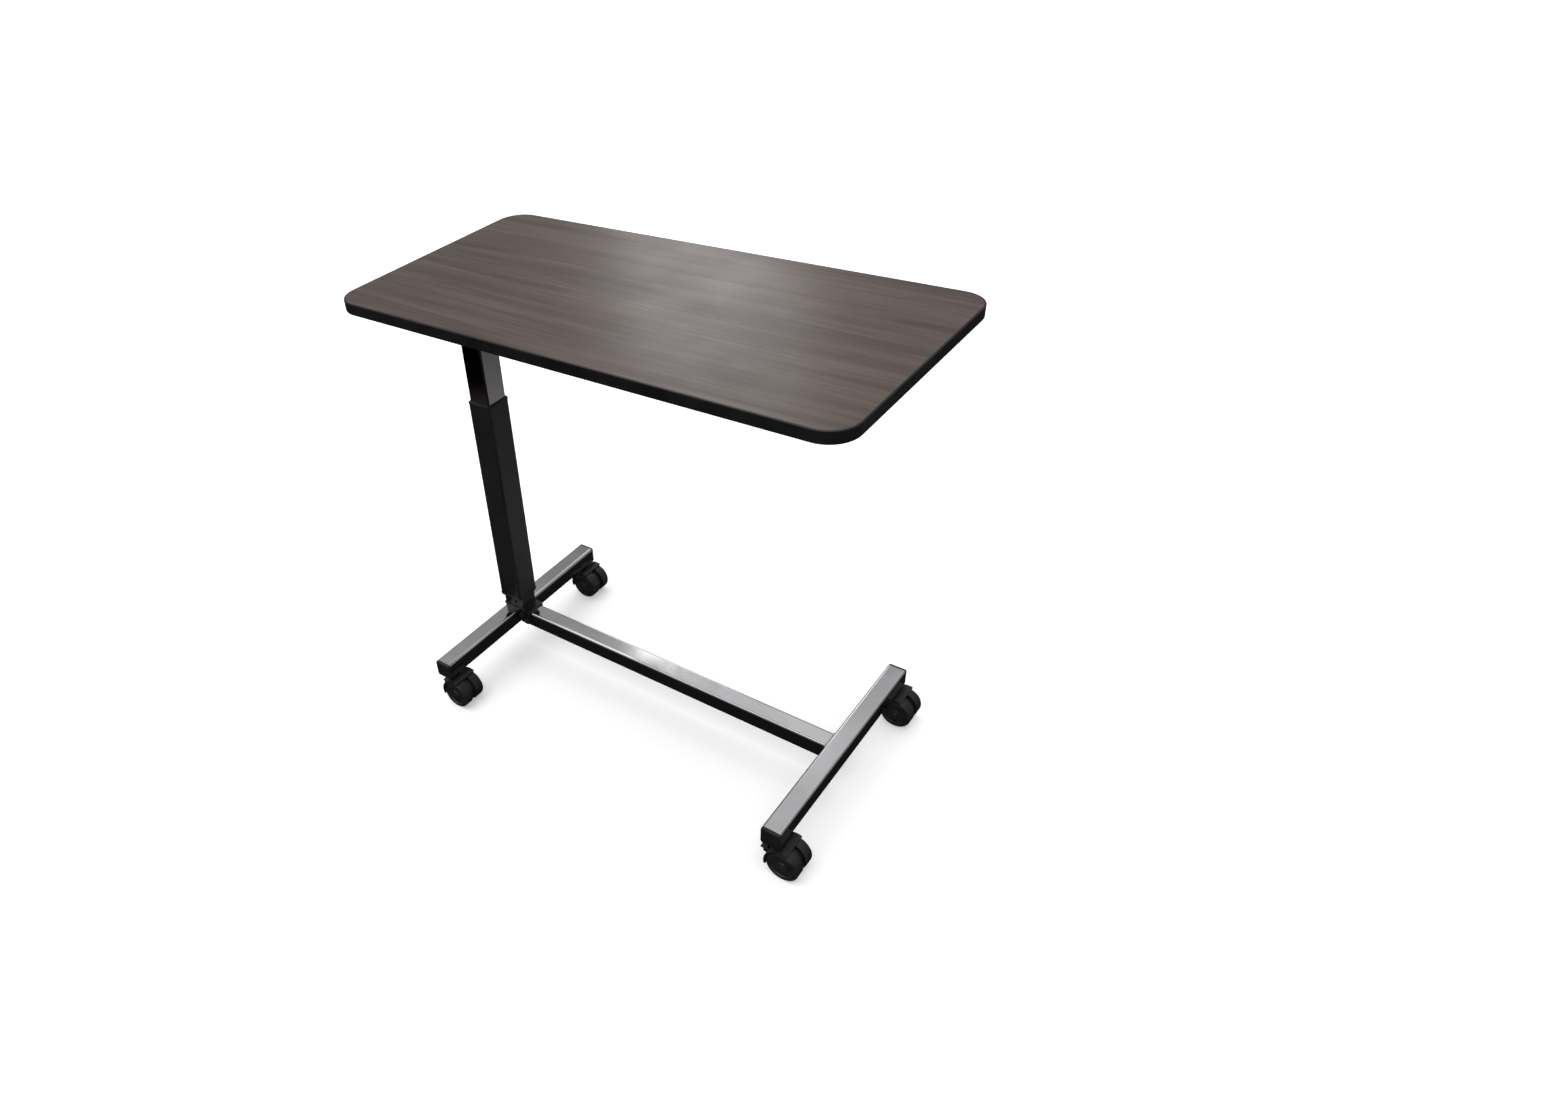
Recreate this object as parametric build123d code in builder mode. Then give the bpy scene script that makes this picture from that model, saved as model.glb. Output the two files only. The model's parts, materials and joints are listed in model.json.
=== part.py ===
from build123d import *

import math
import os

os.makedirs("parts", exist_ok=True)

# Overbed table, lowest setting, in millimetres. The origin is on the floor under the
# middle of the top, +X runs along the top away from the column, -Y is the front, the
# side where the user sits, and +Z is up.

# ------------------------------------------------------------------ driving dimensions

# Table top, a laminated board with a T-section edge band pressed into its edge.
top_length = 762.0
top_width = 381.0
top_height = 715.0
top_corner = 38.0
board_thick = 16.0
laminate_thick = 0.9
backing_thick = 0.7
band_thick = 2.5
band_edge_radius = 1.2
tongue_depth = 7.0
tongue_height = 2.0
groove_clearance = 0.15

# H base, square steel tube.
base_tube = 30.0
base_wall = 1.5
base_corner = 4.0
leg_x = 315.0
leg_half_length = 194.0
tube_bottom = 56.0
cap_thick = 5.0
cap_plug_depth = 8.0

# Twin-wheel casters, trailing towards +X.
stem_y = 178.0
stem_radius = 4.0
caster_trail = 20.0
wheel_radius = 25.0
wheel_inner = 5.5
wheel_outer = 22.5
hub_radius = 7.0
axle_radius = 3.0
fender_inner = 25.8
fender_outer = 28.5
web_half = 5.0
hood_top = 53.0
socket_radius = 7.0
socket_height = 20.5

# Telescoping column.
column_x = -310.0
outer_size = 45.0
inner_size = 40.0
column_wall = 1.5
outer_corner = 4.0
inner_corner = 3.0
column_bottom = 116.0
column_top = 490.0
travel = 300.0
collar_lip = 3.5

# Locking gas spring inside the column.
cylinder_radius = 11.0
cylinder_bore = 9.5
cylinder_bottom = 119.0
cylinder_top = 600.0
rod_radius = 5.0
spring_eye_z = 101.0
spring_pin_radius = 4.0

# Support arm, mast head and release lever under the top.
arm_half_width = 35.0
arm_sheet = 2.0
brim_half_width = 55.0
arm_left = -352.0
arm_right = 208.0
head_plate = 4.0
lever_y = -24.0
lever_z = 688.5
lever_pin_radius = 2.5
lever_half_width = 6.0

# Fasteners: M6 hexagon bolts and nuts, and 4 mm pan head wood screws.
bolt_radius = 3.0
hex_half = 5.0
head_height = 4.0
nut_height = 5.0
screw_radius = 2.0
screw_head_radius = 4.0
screw_head_height = 2.4
screw_length = 14.0

# ------------------------------------------------------------------ derived dimensions

fit = 0.05
bolt_hole = bolt_radius + 0.2
tube_top = tube_bottom + base_tube
tube_mid = tube_bottom + base_tube / 2
board_bottom = top_height - board_thick
core_bottom = board_bottom + backing_thick
core_thick = board_thick - laminate_thick - backing_thick
core_length = top_length - 2 * band_thick
core_width = top_width - 2 * band_thick
core_corner = top_corner - band_thick
board_mid = core_bottom + core_thick / 2
arm_bottom = board_bottom - 24.0
web_top = arm_bottom + arm_sheet
head_bottom = arm_bottom - head_plate
glide_bottom = column_bottom + 0.5
glide_flange = 12.0
inner_bottom = glide_bottom + glide_flange
collar_bottom = inner_bottom + travel + 0.5
stretcher_length = 2 * leg_x - base_tube

screw_points = [(x, y) for x in (-335.0, -160.0, 15.0, 190.0) for y in (-45.0, 45.0)]
arm_bolt_points = [(column_x + dx, dy) for dx in (-35.0, 35.0) for dy in (-22.0, 22.0)]
foot_bolt_points = [(-291.5, 78.0), (-281.0, 69.0)]
corners = [
    ("front_left", -leg_x, -1),
    ("rear_left", -leg_x, 1),
    ("front_right", leg_x, -1),
    ("rear_right", leg_x, 1),
]


def tube_section(size, wall, corner):
    """Draw a hollow rounded square in the open sketch."""
    RectangleRounded(size, size, corner)
    RectangleRounded(size - 2 * wall, size - 2 * wall, corner - wall, mode=Mode.SUBTRACT)


def plane_along_y(x, y, z):
    """A plane whose x is +X and y is +Z, facing -Y."""
    return Plane(origin=(x, y, z), x_dir=(1, 0, 0), z_dir=(0, -1, 0))


def plane_along_x(x, y, z):
    """A plane whose x is +Y and y is +Z, facing +X."""
    return Plane(origin=(x, y, z), x_dir=(0, 1, 0), z_dir=(1, 0, 0))


# ------------------------------------------------------------------ H base

for name, x in (("left_leg_tube", -leg_x), ("right_leg_tube", leg_x)):
    with BuildPart() as leg_tube:
        with BuildSketch(plane_along_y(x, leg_half_length, tube_mid)):
            tube_section(base_tube, base_wall, base_corner)
        extrude(amount=2 * leg_half_length)
        # Holes in the lower wall, one under each stem socket.
        with BuildSketch(Plane.XY.offset(tube_bottom)):
            with Locations((x, -stem_y), (x, stem_y)):
                Circle(stem_radius + 0.3)
        extrude(amount=base_wall, mode=Mode.SUBTRACT)
    leg_tube.part.label = name
    export_step(leg_tube.part, f"parts/{name}.step")

with BuildPart() as stretcher_tube:
    with BuildSketch(plane_along_x(-stretcher_length / 2, 0, tube_mid)):
        tube_section(base_tube, base_wall, base_corner)
    extrude(amount=stretcher_length)
    # Cross holes for the bolts of the foot bracket.
    with BuildSketch(plane_along_y(0, base_tube / 2, 0)):
        with Locations(*foot_bolt_points):
            Circle(bolt_hole)
    extrude(amount=base_tube, mode=Mode.SUBTRACT)
stretcher_tube.part.label = "stretcher_tube"
export_step(stretcher_tube.part, "parts/stretcher_tube.step")

for name, x, side in corners:
    with BuildPart() as end_cap:
        with BuildSketch(plane_along_y(x, side * leg_half_length, tube_mid)):
            RectangleRounded(base_tube, base_tube, base_corner)
        extrude(amount=-side * cap_thick)
        outer_face = end_cap.faces().sort_by(Axis.Y)[0 if side < 0 else -1]
        fillet(outer_face.edges(), radius=2.2)
        # Hollow plug that grips the inside of the tube.
        with BuildSketch(plane_along_y(x, side * leg_half_length, tube_mid)):
            tube_section(base_tube - 2 * base_wall - 0.2, 2.0, base_corner - base_wall)
        extrude(amount=side * cap_plug_depth)
    end_cap.part.label = f"{name}_end_cap"
    export_step(end_cap.part, f"parts/{name}_end_cap.step")

with BuildPart() as stem_sockets:
    with BuildSketch(Plane.XY.offset(tube_bottom + base_wall)):
        with Locations(*[(x, side * stem_y) for _, x, side in corners]):
            Circle(socket_radius)
            Circle(stem_radius + fit, mode=Mode.SUBTRACT)
    extrude(amount=socket_height)
stem_sockets.part.label = "stem_sockets"
export_step(stem_sockets.part, "parts/stem_sockets.step")

# ------------------------------------------------------------------ foot of the column

neck_left = -leg_x - base_tube / 2
neck_right = column_x + outer_size / 2 - 1.0
neck_mid = (neck_left + neck_right) / 2
neck_length = neck_right - neck_left
neck_half = 16.0
neck_wall = 4.0
saddle_thick = 3.0
saddle_right = -274.0
saddle_half = base_tube / 2 + saddle_thick
saddle_left = -leg_x + base_tube / 2
carrier_thick = 4.0
carrier_bottom = column_bottom - carrier_thick
eye_hole_radius = 9.0
cheek_bottom = tube_bottom + 5.0

with BuildPart() as foot_bracket:
    # Plate across the top of the leg and the stretcher.
    with BuildSketch(Plane.XY.offset(tube_top)):
        with Locations(((neck_left + saddle_right) / 2, 0)):
            Rectangle(saddle_right - neck_left, 2 * saddle_half)
    extrude(amount=saddle_thick)
    # Box neck up to the column.
    with BuildSketch(Plane.XY.offset(tube_top + saddle_thick)):
        with Locations((neck_mid, 0)):
            Rectangle(neck_length, 2 * neck_half)
            inner_length = neck_length - 2 * neck_wall
            inner_width = 2 * (neck_half - neck_wall)
            Rectangle(inner_length, inner_width, mode=Mode.SUBTRACT)
    extrude(amount=carrier_bottom - tube_top - saddle_thick)
    fillet(foot_bracket.edges().filter_by(Axis.Z).group_by(Axis.X)[-1], radius=3.0)
    # Plate that carries the outer column, with a way through for the gas spring's eye.
    with BuildSketch(Plane.XY.offset(carrier_bottom)):
        with Locations((column_x, 0)):
            RectangleRounded(outer_size, outer_size, outer_corner)
            Circle(eye_hole_radius, mode=Mode.SUBTRACT)
    extrude(amount=carrier_thick)
    # Cheeks down both sides of the stretcher.
    cheek_mid_x = (saddle_left + saddle_right) / 2
    cheek_mid_z = (tube_top + cheek_bottom) / 2
    for cheek_y in (saddle_half, -base_tube / 2):
        with BuildSketch(plane_along_y(0, cheek_y, 0)):
            with Locations((cheek_mid_x, cheek_mid_z)):
                Rectangle(saddle_right - saddle_left, tube_top - cheek_bottom)
            fillet(vertices().group_by(Axis.Y)[0], radius=6.0)
            with Locations(*foot_bolt_points):
                Circle(bolt_hole, mode=Mode.SUBTRACT)
        extrude(amount=saddle_thick)
    # Cross hole for the gas spring's pin.
    with BuildSketch(plane_along_y(column_x, neck_half, spring_eye_z)):
        Circle(spring_pin_radius + fit)
    extrude(amount=2 * neck_half, mode=Mode.SUBTRACT)
foot_bracket.part.label = "foot_bracket"
export_step(foot_bracket.part, "parts/foot_bracket.step")

bolt_tip = nut_height + 1.5

with BuildPart() as foot_bolts:
    # Hexagon heads on the front cheek.
    with BuildSketch(plane_along_y(0, -saddle_half, 0)):
        with Locations(*foot_bolt_points):
            RegularPolygon(hex_half, 6, major_radius=False)
    extrude(amount=head_height)
    chamfer(foot_bolts.faces().group_by(Axis.Y)[0].edges(), length=0.5)
    with BuildSketch(plane_along_y(0, saddle_half + bolt_tip, 0)):
        with Locations(*foot_bolt_points):
            Circle(bolt_radius)
    extrude(amount=2 * saddle_half + bolt_tip)
foot_bolts.part.label = "foot_bolts"
export_step(foot_bolts.part, "parts/foot_bolts.step")

with BuildPart() as foot_nuts:
    with BuildSketch(plane_along_y(0, saddle_half, 0)):
        with Locations(*foot_bolt_points):
            RegularPolygon(hex_half, 6, major_radius=False)
            Circle(bolt_radius + fit, mode=Mode.SUBTRACT)
    extrude(amount=-nut_height)
foot_nuts.part.label = "foot_nuts"
export_step(foot_nuts.part, "parts/foot_nuts.step")

# ------------------------------------------------------------------ telescoping column

with BuildPart() as outer_column:
    with BuildSketch(Plane.XY.offset(column_bottom)):
        with Locations((column_x, 0)):
            tube_section(outer_size, column_wall, outer_corner)
    extrude(amount=column_top - column_bottom)
outer_column.part.label = "outer_column"
export_step(outer_column.part, "parts/outer_column.step")

bore_size = outer_size - 2 * column_wall
bore_corner = outer_corner - column_wall

with BuildPart() as column_collar:
    with BuildSketch(Plane.XY.offset(collar_bottom)):
        with Locations((column_x, 0)):
            RectangleRounded(bore_size - 2 * fit, bore_size - 2 * fit, bore_corner)
    extrude(amount=column_top - collar_bottom)
    with BuildSketch(Plane.XY.offset(column_top)):
        with Locations((column_x, 0)):
            RectangleRounded(outer_size + 1.5, outer_size + 1.5, outer_corner + 0.75)
    extrude(amount=collar_lip)
    chamfer(column_collar.faces().sort_by(Axis.Z)[-1].edges(), length=1.2)
    with BuildSketch(Plane.XY.offset(collar_bottom)):
        with Locations((column_x, 0)):
            RectangleRounded(inner_size + 0.3, inner_size + 0.3, inner_corner + 0.15)
    extrude(amount=column_top + collar_lip - collar_bottom, mode=Mode.SUBTRACT)
column_collar.part.label = "column_collar"
export_step(column_collar.part, "parts/column_collar.step")

with BuildPart() as inner_column:
    with BuildSketch(Plane.XY.offset(inner_bottom)):
        with Locations((column_x, 0)):
            tube_section(inner_size, column_wall, inner_corner)
    extrude(amount=head_bottom - inner_bottom)
inner_column.part.label = "inner_column"
export_step(inner_column.part, "parts/inner_column.step")

with BuildPart() as mast_glide:
    with BuildSketch(Plane.XY.offset(glide_bottom)):
        with Locations((column_x, 0)):
            RectangleRounded(bore_size - 0.4, bore_size - 0.4, bore_corner - 0.2)
    extrude(amount=glide_flange)
    with BuildSketch(Plane.XY.offset(inner_bottom)):
        with Locations((column_x, 0)):
            plug_size = inner_size - 2 * column_wall - 0.2
            RectangleRounded(plug_size, plug_size, inner_corner - column_wall)
    extrude(amount=20.0)
    with BuildSketch(Plane.XY.offset(glide_bottom)):
        with Locations((column_x, 0)):
            Circle(cylinder_radius + 0.8)
    extrude(amount=glide_flange + 20.0, mode=Mode.SUBTRACT)
mast_glide.part.label = "mast_glide"
export_step(mast_glide.part, "parts/mast_glide.step")

# ------------------------------------------------------------------ gas spring

with BuildPart() as gas_spring_cylinder:
    with BuildSketch(Plane.XY.offset(cylinder_bottom)):
        with Locations((column_x, 0)):
            Circle(cylinder_radius)
    extrude(amount=cylinder_top - cylinder_bottom)
    with BuildSketch(Plane.XY.offset(cylinder_bottom + 5.0)):
        with Locations((column_x, 0)):
            Circle(cylinder_bore)
    extrude(amount=cylinder_top - cylinder_bottom - 7.0, mode=Mode.SUBTRACT)
    # Rolled-in mouth.
    with BuildSketch(Plane.XY.offset(cylinder_top - 2.0)):
        with Locations((column_x, 0)):
            Circle(rod_radius + 1.0)
    extrude(amount=2.0, mode=Mode.SUBTRACT)
    # Lower eye on its neck.
    with BuildSketch(Plane.XY.offset(spring_eye_z)):
        with Locations((column_x, 0)):
            Circle(5.0)
    extrude(amount=cylinder_bottom - spring_eye_z)
    with BuildSketch(plane_along_y(column_x, 5.0, spring_eye_z)):
        Circle(8.0)
    extrude(amount=10.0)
    with BuildSketch(plane_along_y(column_x, 8.0, spring_eye_z)):
        Circle(spring_pin_radius + fit)
    extrude(amount=16.0, mode=Mode.SUBTRACT)
gas_spring_cylinder.part.label = "gas_spring_cylinder"
export_step(gas_spring_cylinder.part, "parts/gas_spring_cylinder.step")

with BuildPart() as gas_spring_guide:
    with BuildSketch(Plane.XY.offset(cylinder_top - 18.0)):
        with Locations((column_x, 0)):
            Circle(cylinder_bore - fit)
            Circle(rod_radius + fit, mode=Mode.SUBTRACT)
    extrude(amount=15.9)
gas_spring_guide.part.label = "gas_spring_guide"
export_step(gas_spring_guide.part, "parts/gas_spring_guide.step")

with BuildPart() as gas_spring_pin:
    with BuildSketch(plane_along_y(column_x, neck_half + 2.5, spring_eye_z)):
        Circle(spring_pin_radius)
    extrude(amount=2 * neck_half + 2.5)
    with BuildSketch(plane_along_y(column_x, -neck_half, spring_eye_z)):
        Circle(6.5)
    extrude(amount=2.5)
    fillet(gas_spring_pin.faces().sort_by(Axis.Y)[0].edges(), radius=1.0)
gas_spring_pin.part.label = "gas_spring_pin"
export_step(gas_spring_pin.part, "parts/gas_spring_pin.step")

rod_bottom = 146.0
rod_top = web_top + 6.0
pin_bore_bottom = 650.0
pin_top = rod_top + 3.7
release_pin_radius = 2.5

with BuildPart() as gas_spring_rod:
    with BuildSketch(Plane.XY.offset(rod_bottom)):
        with Locations((column_x, 0)):
            Circle(rod_radius)
    extrude(amount=rod_top - rod_bottom)
    with BuildSketch(Plane.XY.offset(pin_bore_bottom)):
        with Locations((column_x, 0)):
            Circle(release_pin_radius + fit)
    extrude(amount=rod_top - pin_bore_bottom, mode=Mode.SUBTRACT)
gas_spring_rod.part.label = "gas_spring_rod"
export_step(gas_spring_rod.part, "parts/gas_spring_rod.step")

with BuildPart() as gas_spring_piston:
    with BuildSketch(Plane.XY.offset(rod_bottom + 4.0)):
        with Locations((column_x, 0)):
            Circle(cylinder_bore - 2 * fit)
            Circle(rod_radius + 0.02, mode=Mode.SUBTRACT)
    extrude(amount=12.0)
gas_spring_piston.part.label = "gas_spring_piston"
export_step(gas_spring_piston.part, "parts/gas_spring_piston.step")

with BuildPart() as gas_spring_nut:
    with BuildSketch(Plane.XY.offset(web_top)):
        with Locations((column_x, 0)):
            RegularPolygon(8.0, 6, major_radius=False)
            Circle(rod_radius + 0.02, mode=Mode.SUBTRACT)
    extrude(amount=5.0)
gas_spring_nut.part.label = "gas_spring_nut"
export_step(gas_spring_nut.part, "parts/gas_spring_nut.step")

with BuildPart() as release_pin:
    with BuildSketch(Plane.XY.offset(pin_bore_bottom + 6.0)):
        with Locations((column_x, 0)):
            Circle(release_pin_radius)
    extrude(amount=pin_top - pin_bore_bottom - 6.0)
    fillet(release_pin.faces().sort_by(Axis.Z)[-1].edges(), radius=1.8)
release_pin.part.label = "release_pin"
export_step(release_pin.part, "parts/release_pin.step")

# ------------------------------------------------------------------ mast head and arm

gusset_half_gap = 10.0
gusset_thick = 3.0

with BuildPart() as mast_head:
    with BuildSketch(Plane.XY.offset(head_bottom)):
        with Locations((column_x, 0)):
            RectangleRounded(100.0, 68.0, 6.0)
            Circle(rod_radius + 0.2, mode=Mode.SUBTRACT)
        with Locations(*arm_bolt_points):
            Circle(bolt_hole, mode=Mode.SUBTRACT)
    extrude(amount=head_plate)
    # Gussets between the plate and the two ends of the inner column.
    for gusset_y in (gusset_half_gap + gusset_thick, -gusset_half_gap):
        for direction, reach in ((1, 28.0), (-1, 24.0)):
            with BuildSketch(plane_along_y(column_x, gusset_y, head_bottom)):
                with BuildLine():
                    wall_x = direction * inner_size / 2
                    tip_x = direction * (inner_size / 2 + reach)
                    Polyline(
                        (wall_x, 0),
                        (tip_x, 0),
                        (tip_x, -4.0),
                        (wall_x + direction * 4.0, -36.0),
                        (wall_x, -36.0),
                        close=True,
                    )
                make_face()
            extrude(amount=gusset_thick)
mast_head.part.label = "mast_head"
export_step(mast_head.part, "parts/mast_head.step")

with BuildPart() as support_arm:
    # Hat section bent from sheet, open towards the board.
    wall_y = arm_half_width - arm_sheet / 2
    low_z = arm_bottom + arm_sheet / 2
    high_z = board_bottom - arm_sheet / 2
    with BuildSketch(plane_along_x(arm_left, 0, 0)):
        with BuildLine():
            FilletPolyline(
                (-brim_half_width, high_z),
                (-wall_y, high_z),
                (-wall_y, low_z),
                (wall_y, low_z),
                (wall_y, high_z),
                (brim_half_width, high_z),
                radius=2.5,
            )
        trace(line_width=arm_sheet)
    extrude(amount=arm_right - arm_left)
    # Holes for the gas spring's rod and the bolts of the mast head.
    with BuildSketch(Plane.XY.offset(arm_bottom)):
        with Locations((column_x, 0)):
            Circle(rod_radius + 0.2)
        with Locations(*arm_bolt_points):
            Circle(bolt_hole)
    extrude(amount=arm_sheet, mode=Mode.SUBTRACT)
    # Holes for the board screws.
    with BuildSketch(Plane.XY.offset(board_bottom - arm_sheet)):
        with Locations(*screw_points):
            Circle(screw_radius + 0.3)
    extrude(amount=arm_sheet, mode=Mode.SUBTRACT)
    # Slot in the front wall for the release lever.
    slot_low = arm_bottom + 4.0
    slot_high = board_bottom - 3.0
    with BuildSketch(plane_along_y(column_x, -arm_half_width + 4.0, (slot_low + slot_high) / 2)):
        RectangleRounded(2 * lever_half_width + 5.0, slot_high - slot_low, 3.0)
    extrude(amount=5.0, mode=Mode.SUBTRACT)
support_arm.part.label = "support_arm"
export_step(support_arm.part, "parts/support_arm.step")

with BuildPart() as arm_bolts:
    with BuildSketch(Plane.XY.offset(web_top)):
        with Locations(*arm_bolt_points):
            RegularPolygon(hex_half, 6, major_radius=False)
    extrude(amount=head_height)
    chamfer(arm_bolts.faces().group_by(Axis.Z)[-1].edges(), length=0.5)
    with BuildSketch(Plane.XY.offset(head_bottom - bolt_tip)):
        with Locations(*arm_bolt_points):
            Circle(bolt_radius)
    extrude(amount=web_top - head_bottom + bolt_tip)
arm_bolts.part.label = "arm_bolts"
export_step(arm_bolts.part, "parts/arm_bolts.step")

with BuildPart() as arm_nuts:
    with BuildSketch(Plane.XY.offset(head_bottom - nut_height)):
        with Locations(*arm_bolt_points):
            RegularPolygon(hex_half, 6, major_radius=False)
            Circle(bolt_radius + fit, mode=Mode.SUBTRACT)
    extrude(amount=nut_height)
arm_nuts.part.label = "arm_nuts"
export_step(arm_nuts.part, "parts/arm_nuts.step")

# ------------------------------------------------------------------ release lever

ear_gap = lever_half_width + 0.6
ear_thick = 2.5
ear_radius = 7.0

with BuildPart() as lever_bracket:
    with BuildSketch(Plane.XY.offset(web_top)):
        with Locations((column_x, lever_y)):
            Rectangle(2 * (ear_gap + ear_thick), 2 * ear_radius)
    extrude(amount=ear_thick)
    for ear_x in (column_x - ear_gap - ear_thick, column_x + ear_gap):
        with BuildSketch(plane_along_x(ear_x, lever_y, lever_z)):
            Circle(ear_radius)
            with Locations((0, (web_top - lever_z) / 2)):
                Rectangle(2 * ear_radius, lever_z - web_top)
            Circle(lever_pin_radius + fit, mode=Mode.SUBTRACT)
        extrude(amount=ear_thick)
lever_bracket.part.label = "lever_bracket"
export_step(lever_bracket.part, "parts/lever_bracket.step")

with BuildPart() as lever_pin:
    pin_half = ear_gap + ear_thick + 1.0
    with BuildSketch(plane_along_x(column_x - pin_half, lever_y, lever_z)):
        Circle(lever_pin_radius)
    extrude(amount=2 * pin_half)
    with BuildSketch(plane_along_x(column_x - pin_half - 1.0, lever_y, lever_z)):
        Circle(4.0)
    extrude(amount=2.0)
lever_pin.part.label = "lever_pin"
export_step(lever_pin.part, "parts/lever_pin.step")

grip_z = 674.0
lever_thick = 5.0
lever_end_y = -134.0

with BuildPart() as release_lever:
    with BuildSketch(plane_along_x(column_x - lever_half_width, 0, 0)):
        # Inner arm over the release pin.
        with Locations(((lever_y + 4.0) / 2, pin_top + 0.3 + lever_thick / 2)):
            Rectangle(4.0 - lever_y, lever_thick)
        with Locations((lever_y, lever_z)):
            Circle(6.0)
        # Outer arm, cranked down to the grip.
        with BuildLine():
            FilletPolyline(
                (lever_y, lever_z),
                (lever_y - 16.0, lever_z - 1.0),
                (lever_y - 42.0, grip_z),
                (lever_end_y, grip_z),
                radius=12.0,
            )
        trace(line_width=lever_thick)
        with Locations((lever_y, lever_z)):
            Circle(lever_pin_radius + fit, mode=Mode.SUBTRACT)
    extrude(amount=2 * lever_half_width)
release_lever.part.label = "release_lever"
export_step(release_lever.part, "parts/release_lever.step")

grip_start_y = -86.0
grip_end_y = -140.0
grip_width = 22.0
grip_height = 13.0
groove_radius = 5.0
groove_depth = 1.0
groove_points = (-98.0, -110.0, -122.0)

with BuildPart() as lever_grip:
    with BuildSketch(plane_along_y(column_x, grip_start_y, grip_z)):
        RectangleRounded(grip_width, grip_height, 5.5)
    extrude(amount=grip_start_y - grip_end_y)
    fillet(lever_grip.faces().sort_by(Axis.Y)[0].edges(), radius=4.0)
    fillet(lever_grip.faces().sort_by(Axis.Y)[-1].edges(), radius=1.5)
    with BuildSketch(plane_along_y(column_x, grip_start_y, grip_z)):
        Rectangle(2 * lever_half_width + 2 * fit, lever_thick + 2 * fit)
    extrude(amount=grip_start_y - lever_end_y + fit, mode=Mode.SUBTRACT)
    # Finger grooves across the underside.
    groove_z = grip_z - grip_height / 2 - groove_radius + groove_depth
    with BuildSketch(plane_along_x(column_x - grip_width / 2, 0, groove_z)):
        with Locations(*[(y, 0) for y in groove_points]):
            Circle(groove_radius)
    extrude(amount=grip_width, mode=Mode.SUBTRACT)
lever_grip.part.label = "lever_grip"
export_step(lever_grip.part, "parts/lever_grip.step")

# ------------------------------------------------------------------ table top

with BuildPart() as board_core:
    with BuildSketch(Plane.XY.offset(core_bottom)):
        RectangleRounded(core_length, core_width, core_corner)
    extrude(amount=core_thick)
    # Groove all round for the edge band's tongue.
    slot_depth = tongue_depth + groove_clearance
    slot_height = tongue_height + 2 * groove_clearance
    with BuildSketch(Plane.XY.offset(board_mid - slot_height / 2)):
        RectangleRounded(core_length, core_width, core_corner)
        RectangleRounded(
            core_length - 2 * slot_depth,
            core_width - 2 * slot_depth,
            core_corner - slot_depth,
            mode=Mode.SUBTRACT,
        )
    extrude(amount=slot_height, mode=Mode.SUBTRACT)
    # Pilot holes for the screws.
    with BuildSketch(Plane.XY.offset(core_bottom)):
        with Locations(*screw_points):
            Circle(screw_radius + fit)
    extrude(amount=screw_length - 1.5, mode=Mode.SUBTRACT)
board_core.part.label = "board_core"
export_step(board_core.part, "parts/board_core.step")

with BuildPart() as top_laminate:
    with BuildSketch(Plane.XY.offset(top_height - laminate_thick)):
        RectangleRounded(core_length, core_width, core_corner)
    extrude(amount=laminate_thick)
top_laminate.part.label = "top_laminate"
export_step(top_laminate.part, "parts/top_laminate.step")

with BuildPart() as backing_sheet:
    with BuildSketch(Plane.XY.offset(board_bottom)):
        RectangleRounded(core_length, core_width, core_corner)
        with Locations(*screw_points):
            Circle(screw_radius + 0.2, mode=Mode.SUBTRACT)
    extrude(amount=backing_thick)
backing_sheet.part.label = "backing_sheet"
export_step(backing_sheet.part, "parts/backing_sheet.step")

with BuildPart() as edge_band:
    with BuildSketch(Plane.XY.offset(board_bottom)):
        RectangleRounded(top_length, top_width, top_corner)
    extrude(amount=board_thick)
    fillet(edge_band.faces().sort_by(Axis.Z)[-1].edges(), radius=band_edge_radius)
    fillet(edge_band.faces().sort_by(Axis.Z)[0].edges(), radius=band_edge_radius)
    with BuildSketch(Plane.XY.offset(board_bottom)):
        RectangleRounded(core_length, core_width, core_corner)
    extrude(amount=board_thick, mode=Mode.SUBTRACT)
    # Tongue that holds the band in the board's groove.
    with BuildSketch(Plane.XY.offset(board_mid - tongue_height / 2)):
        RectangleRounded(core_length, core_width, core_corner)
        RectangleRounded(
            core_length - 2 * tongue_depth,
            core_width - 2 * tongue_depth,
            core_corner - tongue_depth,
            mode=Mode.SUBTRACT,
        )
    extrude(amount=tongue_height)
edge_band.part.label = "edge_band"
export_step(edge_band.part, "parts/edge_band.step")

screw_head_bottom = board_bottom - arm_sheet - screw_head_height

with BuildPart() as board_screws:
    with BuildSketch(Plane.XY.offset(screw_head_bottom)):
        with Locations(*screw_points):
            Circle(screw_head_radius)
    extrude(amount=screw_head_height)
    fillet(board_screws.faces().group_by(Axis.Z)[0].edges(), radius=1.4)
    # Cross recess.
    with BuildSketch(Plane.XY.offset(screw_head_bottom)):
        with Locations(*screw_points):
            Rectangle(4.4, 0.9)
            Rectangle(0.9, 4.4)
    extrude(amount=1.5, mode=Mode.SUBTRACT)
    with BuildSketch(Plane.XY.offset(board_bottom - arm_sheet)):
        with Locations(*screw_points):
            Circle(screw_radius)
    extrude(amount=screw_length)
board_screws.part.label = "board_screws"
export_step(board_screws.part, "parts/board_screws.step")

# ------------------------------------------------------------------ casters

fender_start = 75.0
fender_end = 196.0
boss_radius = 9.0
boss_bottom = 37.0
spindle_length = 13.5
dome_radius = 20.0
rim_radius = 18.0
pedal_half = 9.0
pedal_pin_radius = 1.5
pedal_pivot = (-11.5 - caster_trail, 31.0 - wheel_radius)


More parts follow.
